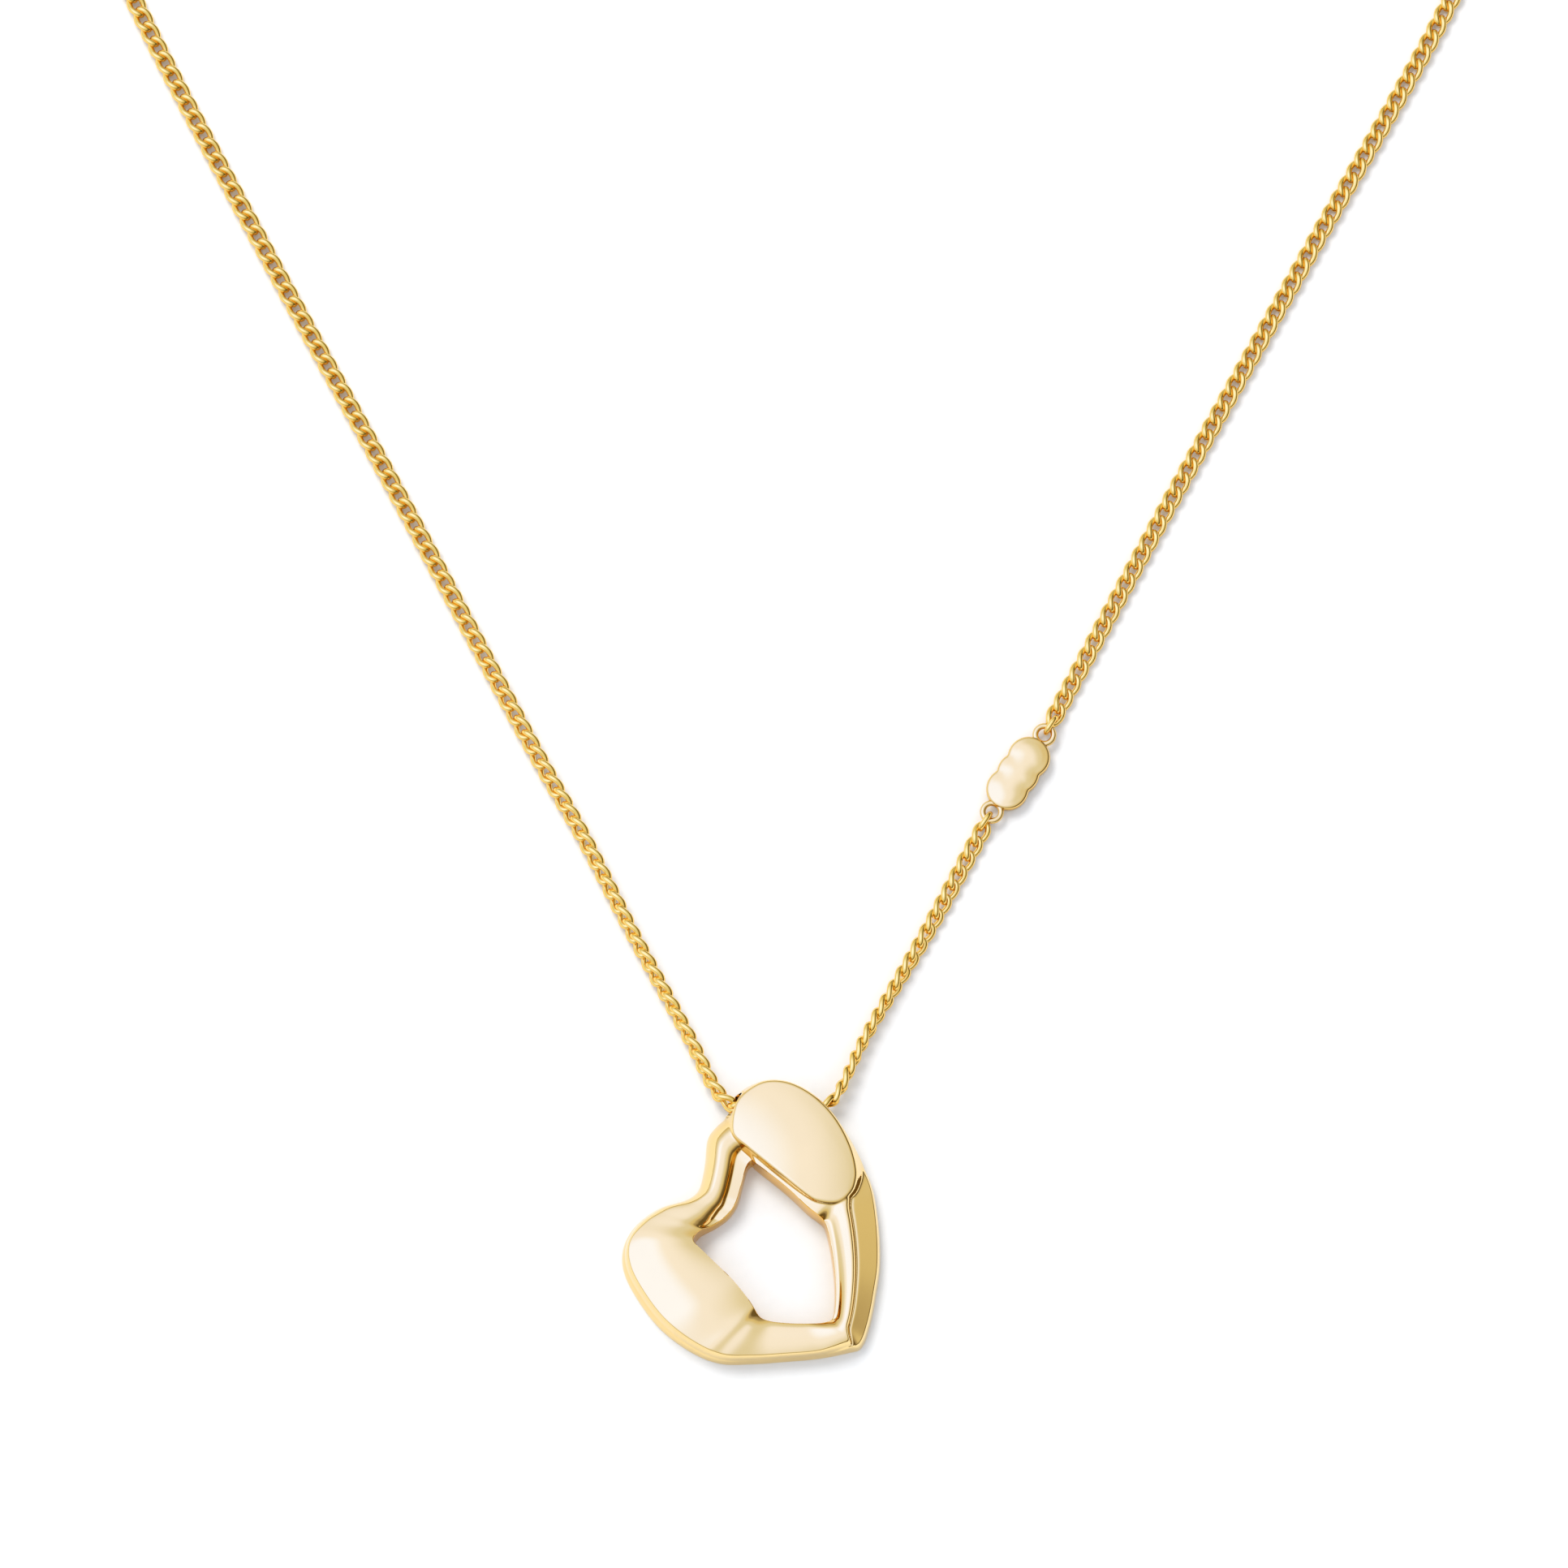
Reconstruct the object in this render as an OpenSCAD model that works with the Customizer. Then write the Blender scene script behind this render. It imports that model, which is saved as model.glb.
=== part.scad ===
// Pendant necklace: an open heart on a fine curb chain, with a charm let into the chain,
// a lobster clasp and an extender. It lies face up on a table, whose top is the plane z = 0.
// The origin is on the heart's flat back, straight under the middle of the bail tube.

/* [Heart] */
// Scale of the heart's height above its flat back
heart_height = 1; // [0.9:0.05:1.1]
// Height of the crisp oval pad at the top of the heart
pad_height = 3.3; // [3.1:0.1:3.6]
// Radius of the pad's rounded edge
pad_edge_r = 0.3; // [0.25:0.05:0.6]

/* [Bail tube] */
// Radius of the bore that the chain slides through
bail_bore_r = 1; // [0.95:0.05:1.05]
// Outer radius of the tube
bail_tube_r = 1.2; // [1.15:0.05:1.25]
// Length of the tube
bail_length = 5; // [4.6:0.1:5.2]

/* [Chain] */
// Width of the curb chain
chain_w = 1.7; // [1.5:0.1:1.8]

/* [Charm] */
// Diameter of each of the charm's three joined lobes
charm_w = 3.5; // [3.2:0.1:3.6]
// Distance between the lobes
charm_step = 1.6; // [1.5:0.05:1.6]
// Thickness of the charm's plate
charm_t = 1.2; // [1:0.1:1.4]

/* [Clasp] */
// Outer radius of the claw's round end
claw_r = 2.6; // [2.5:0.05:2.7]
// Thickness of the claw
claw_t = 1; // [0.8:0.1:1]
// Thickness of the clasp's body at the lever's hinge
clasp_t = 2.6; // [2.4:0.1:2.8]
// Radius of the lever's hinge pin
pin_r = 0.35; // [0.3:0.05:0.4]

/* [Extender] */
// Width of an extender link's centre line
extender_w = 2.4; // [2.2:0.1:2.6]
// Diameter of the extender's wire
extender_wire = 0.6; // [0.5:0.05:0.6]

/* [Hidden] */
gold = [0.86, 0.68, 0.33];
pale_gold = [0.92, 0.78, 0.48];
round_fn = 48;
wire_fn = 24;

// Gap left between two wires that bear on each other
wire_gap = 0.1;

// Height of the bail's bore, and of the chain where it lies on the table
bail_z = 1.5;
chain_z = chain_w / 2;
// Height of the clasp's middle, and of the extender's
clasp_z = 1.55;
extender_z = 1.15;

// The heart's rim, clockwise from the cleft. Each station is
// [outer x, outer y, inner x, inner y], on the outline and on the window's edge.
heart_rim = [
    [-6.3, -6.6, -3.1, -7.9],
    [-5.9, -4.7, -2.7, -6.4],
    [-5.7, -2.7, -2.4, -5.3],
    [-5.1, -1.7, -2.2, -4.95],
    [-4.0, -0.6, -2.0, -4.85],
    [-3.7, 0.6, -1.75, -5.1],
    [-2.4, 1.6, -1.15, -5.6],
    [-0.3, 2.0, -0.55, -6.08],
    [1.9, 1.4, 0.35, -6.82],
    [3.9, -0.1, 1.4, -7.76],
    [5.5, -2.2, 2.5, -8.85],
    [6.9, -4.5, 3.35, -9.5],
    [7.9, -6.8, 3.85, -10.0],
    [8.4, -10.0, 4.2, -11.2],
    [8.5, -13.1, 4.5, -12.9],
    [8.2, -15.5, 4.7, -14.9],
    [7.7, -18.1, 4.7, -16.7],
    [7.0, -20.0, 4.5, -17.8],
    [5.9, -20.45, 3.8, -18.2],
    [3.4, -20.95, 2.2, -18.3],
    [0.7, -21.2, 0.3, -18.2],
    [-2.1, -21.4, -0.8, -18.0],
    [-4.7, -21.35, -1.4, -17.6],
    [-7.1, -20.35, -2.2, -16.4],
    [-9.5, -18.5, -3.5, -14.8],
    [-11.3, -16.15, -4.8, -13.5],
    [-12.5, -13.8, -5.9, -12.4],
    [-12.6, -11.8, -6.7, -11.5],
    [-11.7, -10.0, -6.2, -10.7],
    [-9.8, -8.5, -5.1, -10.1],
    [-7.9, -7.9, -4.1, -9.4],
    [-6.9, -7.4, -3.5, -8.7]
];

// How the heart's cross-section changes round the rim. Each row is [station,
// height at the window's edge, width of the ledge inside the ridge (0 none, as a share of
// the bar's width), where the crest lies (0 window to 1 ridge's outer foot), crest height,
// fall from the crest towards the outside, share of that side which is rounded over,
// where the ridge's outer foot is (0 window to 1 outline), height of the ledge outside it].
heart_sections = [
    [0, 1.8, 0.25, 0.6, 2.5, 0.4, 0.9, 1.0, 1.0],
    [4, 1.9, 0.25, 0.58, 2.5, 0.4, 0.9, 1.0, 1.0],
    [5.3, 2.5, 0, 0.5, 2.6, 0.3, 0.3, 1.0, 1.2],
    [10.8, 2.5, 0, 0.5, 2.6, 0.3, 0.3, 0.9, 1.4],
    [12.3, 1.4, 0, 0.72, 2.6, 0.2, 0.9, 0.57, 2.0],
    [16.7, 1.3, 0, 0.72, 2.5, 0.2, 0.9, 0.57, 1.9],
    [17.8, 1.8, 0, 0.4, 2.4, 0.4, 0.3, 0.95, 1.4],
    [19, 2.0, 0, 0.25, 2.2, 0.4, 0.12, 0.97, 1.0],
    [20.5, 2.0, 0, 0.25, 2.2, 0.4, 0.12, 0.97, 1.0],
    [22.1, 1.9, 0, 0.32, 2.45, 0.5, 0.12, 0.97, 1.0],
    [22.5, 2.45, 0, 0.36, 2.6, 0.5, 0.11, 0.97, 1.0],
    [24, 2.75, 0, 0.45, 2.9, 0.65, 0.1, 0.97, 1.0],
    [27, 2.6, 0, 0.45, 2.85, 0.65, 0.12, 0.97, 1.0],
    [28.3, 2.2, 0, 0.46, 2.65, 0.5, 0.3, 0.98, 1.0],
    [28.7, 1.5, 0.06, 0.5, 2.6, 0.45, 0.4, 0.98, 1.0],
    [30.5, 1.6, 0.2, 0.6, 2.5, 0.4, 0.8, 1.0, 1.0],
    [32, 1.8, 0.25, 0.6, 2.5, 0.4, 0.9, 1.0, 1.0]
];

// The outline of the crisp pad on the heart's top lobe
pad_outline = [
    [-3.72, -2.3], [-3.72, -1.5], [-3.6, -0.7], [-3.2, 0.35], [-2.2, 1.3], [-0.87, 1.9],
    [0.84, 1.8], [2.54, 1.0], [4.07, -0.3], [5.27, -1.9], [6.2, -3.85], [6.62, -5.6],
    [6.55, -6.7], [6.15, -7.65], [5.1, -8.45], [3.7, -8.45], [2.54, -7.95], [-0.01, -5.9],
    [-2.5, -3.8], [-3.45, -2.95]
];

heart_rings = 96;
// Places of the heart's lanes, from the window's edge to the outline
heart_lanes = [0, 0.06, 0.15, 0.26, 0.38, 0.48, 0.6, 0.75, 0.9, 0.96, 1];
pad_steps = 3;
// How fast the pad falls away from its highest point, and where that is
pad_bow = 0.016;
pad_middle = [1.8, -3.3];
// How far the window's wall leans out from the back to the top
window_draft = 0.2;
// Radius over which the outside ledge turns down
ledge_edge = 0.3;
// How far two surfaces blend where they meet
crease = 0.1;

// The chain's route, from the clasp down the left side, through the bail and up to the charm
route_long = [
    [-28.5, 174.6, clasp_z], [-31.6, 173.4, 1.2], [-36.2, 169.6, chain_z],
    [-45.4, 159.7, chain_z], [-56, 141.4, chain_z], [-59.7, 120.5, chain_z],
    [-57.3, 104.7, chain_z], [-52.4, 92.4, chain_z], [-41.9, 71.9, chain_z],
    [-31.1, 51.6, chain_z], [-20.4, 31, chain_z], [-15.9, 22.8, chain_z],
    [-11.8, 14.6, chain_z], [-7.4, 6.3, 0.9], [-5.6, 2.5, 1.2], [-4.6, 0.9, 1.4],
    [-3.3, 0, bail_z], [0, 0, bail_z], [3.5, 0, bail_z], [4.8, 0.9, 1.4],
    [5.7, 2.5, 1.2], [7.5, 6.3, 0.9], [12.25, 14.6, chain_z], [16.8, 23.2, chain_z]
];
// The route of the short stretch, from the charm up the right side to the extender
route_short = [
    [22.85, 33, chain_z], [32.65, 51.6, chain_z], [43.7, 71.9, chain_z], [54.95, 92.4, chain_z],
    [59.9, 104.7, chain_z], [62.3, 120.5, chain_z], [58.6, 141.4, chain_z],
    [48, 159.7, chain_z], [39, 168.5, chain_z], [34, 172, 1], [31, 173.4, extender_z]
];
// The points of each route where the chain is cut at the fold across the neck
long_cut = 5;
short_cut = 5;
tube_sides = 8;
ring_spacing = 5;

// The charm lies on the chain's line, between these two loops
charm_low = [17.67, 24.85];
charm_high = [22, 31.35];
loop_r = 0.75;
loop_wire = 0.5;
link_wire = 0.45;
link_length = 1.5;
link_w = 1.2;

// The clasp's own frame: its origin, its turn about Z, and its x along the chain
clasp_at = [-19, 178];
clasp_yaw = 19.5;
claw_bore_r = claw_r - 1;
claw_reach = 1.5;
eye_x = -6.2;
eye_r = 1.5;
eye_bore_r = 0.8;
eye_t = 1;
pin_at = [-3.1, 1.2];
lever_t = 0.8;
slot_t = 1.5;
lever_bore_r = pin_r + 0.05;
ring_r = 1.15;
ring_wire = 0.5;
closure_r = 1.7;
closure_wire = 0.6;
closure_x = 3.6;

// The extender: how many oval links, the length of a link's centre line, where the first one
// begins, and how much each turns from the one before
extender_links = 14;
extender_length = 3.8;
extender_start_x = closure_x + closure_r - closure_wire / 2 - extender_wire / 2 - wire_gap;
extender_pitch = extender_length - extender_wire - wire_gap;
extender_yaw = 13;
extender_turn = -2.95;

function catmull(a, b, c, d, u) =
    0.5 * (2 * b + (c - a) * u + (2 * a - 5 * b + 4 * c - d) * u * u
           + (3 * b - a - 3 * c + d) * u * u * u);
// A point on the closed curve through the points, at station s
function on_loop(points, s) =
    let(n = len(points), i = floor(s), u = s - i)
    catmull(points[(i + n - 1) % n], points[i % n], points[(i + 1) % n], points[(i + 2) % n], u);
// A point on the open curve through the points, at point number s
function on_route(points, s) =
    let(last = len(points) - 1, i = min(floor(s), last - 1), u = s - i)
    catmull(i == 0 ? 2 * points[0] - points[1] : points[i - 1], points[i], points[i + 1],
            i == last - 1 ? 2 * points[last] - points[last - 1] : points[i + 2], u);
function smooth_step(u) = u * u * (3 - 2 * u);
function smooth_max(a, b, k) = (a + b + sqrt((a - b) * (a - b) + k * k)) / 2;

// The heart's cross-section at station s
function section_at(s) =
    let(i = max([for (k = [0:len(heart_sections) - 2]) if (heart_sections[k][0] <= s) k]),
        low = heart_sections[i], high = heart_sections[i + 1],
        u = smooth_step((s - low[0]) / (high[0] - low[0])))
    low + (high - low) * u;

// A quarter of a rounded ridge: 0 at its foot, 1 at its crest
function swell(u, power) = u <= 0 ? 0 : u >= 1 ? 1 : pow(1 - pow(1 - u, power), 1 / power);

// Height of the heart's bars at station s, a fraction t of the way from window to outline,
// where the bar is wide across
function bar_height(s, t, wide) =
    let(q = section_at(s), wall = q[1], inner = q[2], foot = q[7], crest = q[3] * foot,
        plain = q[4] - (q[4] - wall) * pow(1 - min(1, t / crest), 2),
        stepped = smooth_max(wall, q[4] * swell((t - inner) / (crest - inner), 3), crease),
        rise = plain + (stepped - plain) * min(1, inner / 0.12),
        v = max(0, min(1, (t - crest) / (foot - crest))),
        fall = (q[4] - q[5] * v * v) * swell((1 - v) / q[6], 2),
        slope = 1 - 0.3 * max(0, min(1, (t - foot) / (1.001 - foot))),
        ledge = q[8] * slope * swell((1.001 - t) * wide / ledge_edge, 2))
    swell((t * wide + 0.05) / window_draft, 1.4) * smooth_max(t < crest ? rise : fall, ledge, crease);

// Distance from p to the segment a-b, and whether the segment crosses the ray from p to +X
function to_segment(p, a, b) =
    let(d = b - a, u = max(0, min(1, (p - a) * d / (d * d)))) norm(p - a - u * d);
function crosses(p, a, b) =
    (a[1] > p[1]) != (b[1] > p[1])
    && p[0] < (b[0] - a[0]) * (p[1] - a[1]) / (b[1] - a[1]) + a[0] ? 1 : 0;
function total(list, i = 0) = i >= len(list) ? 0 : list[i] + total(list, i + 1);

pad_curve = [for (k = [0:len(pad_outline) * pad_steps - 1]) on_loop(pad_outline, k / pad_steps)];
// Distance from p in to the pad's edge, negative outside
function pad_depth(p) =
    let(n = len(pad_curve),
        near = min([for (k = [0:n - 1]) to_segment(p, pad_curve[k], pad_curve[(k + 1) % n])]),
        hits = total([for (k = [0:n - 1]) crosses(p, pad_curve[k], pad_curve[(k + 1) % n])]))
    hits % 2 == 1 ? near : -near;
function pad_top(p) =
    let(d = pad_depth(p), e = max(0, pad_edge_r - d),
        top = pad_height - pad_edge_r - pad_bow * (p - pad_middle) * (p - pad_middle))
    d <= 0 ? top + 4 * d : top + sqrt(pad_edge_r * pad_edge_r - e * e);

function heart_point(s, t) =
    let(rim = on_loop(heart_rim, s), outer = [rim[0], rim[1]], inner = [rim[2], rim[3]],
        p = inner + (outer - inner) * t,
        z = smooth_max(bar_height(s, t, norm(outer - inner)), pad_top(p), crease))
    [p[0], p[1], z * heart_height];

// The heart as a closed ring of cross-sections: the top lanes, then the flat back's two edges
module heart_solid() {
    across = len(heart_lanes) + 2;
    section = function (k) let(s = k * len(heart_rim) / heart_rings,
                               rim = on_loop(heart_rim, s))
        concat([for (t = heart_lanes) heart_point(s, t)],
               [[rim[0], rim[1], 0], [rim[2], rim[3], 0]]);
    points = [for (k = [0:heart_rings - 1]) each section(k)];
    faces = [for (k = [0:heart_rings - 1], j = [0:across - 1])
             let(a = k * across, b = ((k + 1) % heart_rings) * across, m = (j + 1) % across)
             each [[a + j, b + j, b + m], [a + j, b + m, a + m]]];
    polyhedron(points, faces);
}

module heart_casting() {
    color(pale_gold)
        difference() {
            heart_solid();
            translate([-9, 0, bail_z])
                rotate([0, 90, 0])
                    cylinder(h = 18, r = bail_tube_r, $fn = round_fn);
        }
}

module bail_tube() {
    color(gold)
        translate([-bail_length / 2 - 0.3, 0, bail_z])
            rotate([0, 90, 0])
                difference() {
                    cylinder(h = bail_length, r = bail_tube_r, $fn = round_fn);
                    translate([0, 0, -1])
                        cylinder(h = bail_length + 2, r = bail_bore_r, $fn = round_fn);
                }
}

// A tube swept along the route between two of its points, with a ring at each point and
// more between them where they are far apart
module chain_tube(route, from, to) {
    marks = concat([for (k = [from:to - 1])
                    let(parts = max(1, round(norm(route[k + 1] - route[k]) / ring_spacing)))
                    each [for (m = [0:parts - 1]) k + m / parts]], [to]);
    rings = len(marks) - 1;
    step = 0.02;
    ring = function (s)
        let(at = on_route(route, s),
            ahead = on_route(route, min(len(route) - 1, s + step)),
            behind = on_route(route, max(0, s - step)),
            along = (ahead - behind) / norm(ahead - behind),
            side = cross(along, [0, 0, 1]) / norm(cross(along, [0, 0, 1])),
            up = cross(side, along))
        [for (k = [0:tube_sides - 1]) let(a = (k + 0.5) * 360 / tube_sides)
         at + chain_w / 2 * (cos(a) * side + sin(a) * up)];
    points = [for (s = marks) each ring(s)];
    sides = [for (k = [0:rings - 1], j = [0:tube_sides - 1])
             let(a = k * tube_sides, b = a + tube_sides, m = (j + 1) % tube_sides)
             each [[a + j, a + m, b + m], [a + j, b + m, b + j]]];
    first = [[for (j = [0:tube_sides - 1]) tube_sides - 1 - j]];
    last = [[for (j = [0:tube_sides - 1]) rings * tube_sides + j]];
    polyhedron(points, concat(first, last, sides));
}

module chain_back_left() { color(gold) chain_tube(route_long, 0, long_cut); }
module chain_front_left() { color(gold) chain_tube(route_long, long_cut, len(route_long) - 1); }
module chain_front_right() { color(gold) chain_tube(route_short, 0, short_cut); }
module chain_back_right() { color(gold) chain_tube(route_short, short_cut, len(route_short) - 1); }

// A round ring in the XY plane
module wire_ring(radius, wire) {
    rotate_extrude($fn = round_fn)
        translate([radius, 0])
            circle(d = wire, $fn = wire_fn);
}

// An oval link in the XY plane, long in X
module oval_link(length, width, wire) {
    straight = length - width;
    for (side = [-1, 1]) {
        translate([side * straight / 2, 0, 0])
            rotate([0, 0, side * 90 - 180])
                rotate_extrude(angle = 180, $fn = round_fn)
                    translate([width / 2, 0])
                        circle(d = wire, $fn = wire_fn);
        translate([-straight / 2, side * width / 2, 0])
            rotate([0, 90, 0])
                cylinder(h = straight, d = wire, $fn = wire_fn);
    }
}

charm_vector = charm_high - charm_low;
charm_yaw = atan2(charm_vector[1], charm_vector[0]);
module on_charm(x) {
    middle = (charm_low + charm_high) / 2;
    translate([middle[0], middle[1], chain_z])
        rotate([0, 0, charm_yaw])
            translate([x, 0, 0])
                children();
}
loop_x = norm(charm_vector) / 2;

// A flat plate of three joined round lobes, with a loop at each end
module charm_plate() {
    color(pale_gold)
        on_charm(0)
            union() {
                translate([0, 0, -charm_t / 2])
                    linear_extrude(charm_t)
                        for (x = [-charm_step, 0, charm_step])
                            translate([x, 0])
                                circle(d = charm_w, $fn = round_fn);
                for (side = [-1, 1])
                    translate([side * loop_x, 0, 0])
                        wire_ring(loop_r, loop_wire);
            }
}

module charm_link(side) {
    reach = loop_r - loop_wire / 2 - link_wire / 2 - wire_gap / 2 + link_length / 2;
    color(gold)
        on_charm(side * (loop_x + reach))
            rotate([90, 0, 0])
                oval_link(link_length, link_w, link_wire);
}
module charm_link_lower() { charm_link(-1); }
module charm_link_upper() { charm_link(1); }

module on_clasp(x, y = 0, z = 0) {
    translate([clasp_at[0], clasp_at[1], clasp_z])
        rotate([0, 0, clasp_yaw])
            translate([x, y, z])
                children();
}

clasp_ring_x = eye_x - eye_bore_r - ring_r + ring_wire + wire_gap / 2;

module end_link_left() {
    gap_to_ring = ring_r - ring_wire / 2 - link_wire / 2 - wire_gap / 2;
    color(gold)
        on_clasp(clasp_ring_x - gap_to_ring - link_length / 2)
            oval_link(link_length, link_w, link_wire);
}

module clasp_ring() {
    color(gold)
        on_clasp(clasp_ring_x)
            rotate([90, 0, 0])
                wire_ring(ring_r, ring_wire);
}

// A straight-sided oval whose round ends are centred at -reach and +reach
module stadium(reach, radius) {
    square([2 * reach, 2 * radius], center = true);
    for (side = [-1, 1])
        translate([side * reach, 0])
            circle(r = radius, $fn = round_fn);
}

module claw_profile() {
    difference() {
        stadium(claw_reach, claw_r);
        stadium(claw_reach, claw_bore_r);
        translate([-1.6, 1])
            square([3, 2]);
    }
}

module clasp_body() {
    color(pale_gold)
        on_clasp(0)
            difference() {
                union() {
                    translate([0, 0, -claw_t / 2])
                        linear_extrude(claw_t)
                            claw_profile();
                    translate([-3.6, 0, -clasp_t / 2])
                        intersection() {
                            cylinder(h = clasp_t, r = 2.3, $fn = round_fn);
                            translate([-3, -3, 0])
                                cube([4.6, 6, clasp_t]);
                        }
                    translate([eye_x, 0, -eye_t / 2])
                        cylinder(h = eye_t, r = eye_r, $fn = round_fn);
                }
                translate([eye_x, 0, -eye_t])
                    cylinder(h = 2 * eye_t, r = eye_bore_r, $fn = round_fn);
                translate([-4.6, -0.3, -slot_t / 2])
                    cube([4, 4, slot_t]);
                translate([pin_at[0], pin_at[1], -clasp_t])
                    cylinder(h = 2 * clasp_t, r = pin_r, $fn = round_fn);
            }
}

module clasp_lever() {
    color(gold)
        on_clasp(0, 0, -lever_t / 2)
            linear_extrude(lever_t)
                difference() {
                    union() {
                        translate(pin_at)
                            circle(r = 0.95, $fn = round_fn);
                        polygon([[-3.1, 0.4], [-2.2, 0.9], [-1.2, 1.6], [1.2, 1.6], [1.2, 2.55],
                                 [-1.5, 2.6], [-3.1, 2.15]]);
                        translate([-1.6, 2.7])
                            circle(r = 0.5, $fn = round_fn);
                    }
                    translate(pin_at)
                        circle(r = lever_bore_r, $fn = round_fn);
                }
}

module clasp_pin() {
    color(gold)
        on_clasp(pin_at[0], pin_at[1], -clasp_t / 2)
            cylinder(h = clasp_t, r = pin_r, $fn = round_fn);
}

// The lever's spring, coiled round the pin beside the lever
module clasp_spring() {
    color("silver")
        on_clasp(pin_at[0], pin_at[1], 0.58)
            wire_ring(0.6, 0.2);
}

module closure_ring() {
    color(gold)
        on_clasp(closure_x)
            rotate([-45, 0, 0])
                wire_ring(closure_r, closure_wire);
}

// Where an extender link begins, and which way it points
function extender_yaw_at(i) = extender_yaw + extender_turn * i;
function extender_at(i) =
    i == 0 ? clasp_at + extender_start_x * [cos(clasp_yaw), sin(clasp_yaw)]
           : extender_at(i - 1)
             + extender_pitch * [cos(extender_yaw_at(i - 1)), sin(extender_yaw_at(i - 1))];
function extender_z_at(i) = extender_z + (i < 2 ? 0.22 - 0.11 * i : 0);

module on_extender(i, x, lean) {
    at = extender_at(i);
    translate([at[0], at[1], extender_z_at(i)])
        rotate([0, 0, extender_yaw_at(i)])
            translate([x, 0, 0])
                rotate([lean, 0, 0])
                    children();
}

module extender_link(i) {
    color(gold)
        on_extender(i, extender_length / 2, i % 2 == 0 ? 45 : -45)
            oval_link(extender_length, extender_w, extender_wire);
}

// The ring and the chain's own last link, on the line that the last extender link starts
last_near = extender_length - extender_wire / 2 - ring_wire / 2 - wire_gap;
end_ring_x = last_near + ring_r;
end_link_x = end_ring_x + ring_r - ring_wire / 2 - link_wire / 2 - wire_gap / 2 + link_length / 2;
module extender_ring() {
    color(gold)
        on_extender(extender_links - 1, end_ring_x, 45)
            wire_ring(ring_r, ring_wire);
}
module end_link_right() {
    color(gold)
        on_extender(extender_links - 1, end_link_x, -45)
            oval_link(link_length, link_w, link_wire);
}

function two_digits(i) = str(i < 10 ? "0" : "", i);
LINKS = [for (i = [1:extender_links]) str("extender_link_", two_digits(i))];

heart_casting();
bail_tube();
chain_front_left();
chain_front_right();
chain_back_left();
chain_back_right();
charm_plate();
charm_link_lower();
charm_link_upper();
end_link_left();
clasp_ring();
clasp_body();
clasp_lever();
clasp_pin();
clasp_spring();
closure_ring();
extender_ring();
end_link_right();
for (i = [0:extender_links - 1])
    extender_link(i);
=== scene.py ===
import math

import bmesh
import bpy
import numpy as np
from mathutils import Matrix, Vector


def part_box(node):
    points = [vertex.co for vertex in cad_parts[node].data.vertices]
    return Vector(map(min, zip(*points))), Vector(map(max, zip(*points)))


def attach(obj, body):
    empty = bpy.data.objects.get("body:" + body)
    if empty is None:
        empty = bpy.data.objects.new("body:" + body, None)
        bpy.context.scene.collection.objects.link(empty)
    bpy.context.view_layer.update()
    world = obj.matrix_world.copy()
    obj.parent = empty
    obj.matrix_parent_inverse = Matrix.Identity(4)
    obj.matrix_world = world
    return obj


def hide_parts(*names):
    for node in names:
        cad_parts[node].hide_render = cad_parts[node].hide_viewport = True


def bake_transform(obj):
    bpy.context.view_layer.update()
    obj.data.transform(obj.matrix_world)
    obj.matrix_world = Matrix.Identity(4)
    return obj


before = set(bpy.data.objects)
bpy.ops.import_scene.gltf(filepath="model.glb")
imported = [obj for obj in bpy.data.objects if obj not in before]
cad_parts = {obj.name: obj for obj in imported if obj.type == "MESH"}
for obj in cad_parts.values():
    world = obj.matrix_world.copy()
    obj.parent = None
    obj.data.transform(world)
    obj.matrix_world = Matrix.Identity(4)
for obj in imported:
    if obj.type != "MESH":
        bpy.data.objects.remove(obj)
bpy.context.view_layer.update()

mm = 0.001
scene = bpy.context.scene


def linearColour(hexValue):
    # sRGB hex to linear light
    out = []
    for k in (0, 2, 4):
        c = int(hexValue[k:k + 2], 16) / 255
        out.append(c / 12.92 if c <= 0.04045 else ((c + 0.055) / 1.055) ** 2.4)
    return (*out, 1.0)


def addNode(tree, kind, settings=None, inputs=None, links=None):
    node = tree.nodes.new(kind)
    for name, value in (settings or {}).items():
        setattr(node, name, value)
    for name, value in (inputs or {}).items():
        node.inputs[name].default_value = value
    for name, (source, socket) in (links or {}).items():
        tree.links.new(source.outputs[socket], node.inputs[name])
    return node


def catmull(a, b, c, d, u):
    # the smooth curve from b to c, with a and d as its neighbours
    return 0.5 * (2 * b + (c - a) * u + (2 * a - 5 * b + 4 * c - d) * u * u
                  + (3 * b - a - 3 * c + d) * u * u * u)


def onLoop(points, s):
    # a place on a closed curve, and on an open one below
    n = len(points)
    i = int(math.floor(s)) % n
    u = s - math.floor(s)
    return catmull(points[i - 1], points[i], points[(i + 1) % n], points[(i + 2) % n], u)


def onRoute(points, s):
    last = len(points) - 1
    i = min(int(s), last - 1)
    before = 2 * points[0] - points[1] if i == 0 else points[i - 1]
    after = 2 * points[last] - points[last - 1] if i == last - 1 else points[i + 2]
    return catmull(before, points[i], points[i + 1], after, s - i)


def smoothStep(u):
    u = min(1.0, max(0.0, u))
    return u * u * (3 - 2 * u)


def meshPiece(name, bm, body):
    bmesh.ops.recalc_face_normals(bm, faces=bm.faces[:])
    for face in bm.faces:
        face.smooth = True
    mesh = bpy.data.meshes.new(name)
    bm.to_mesh(mesh)
    bm.free()
    piece = bpy.data.objects.new(name, mesh)
    scene.collection.objects.link(piece)
    if body:
        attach(piece, body)
    return piece


def giveMaterial(piece, material):
    piece.data.materials.clear()
    piece.data.materials.append(material)


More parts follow.
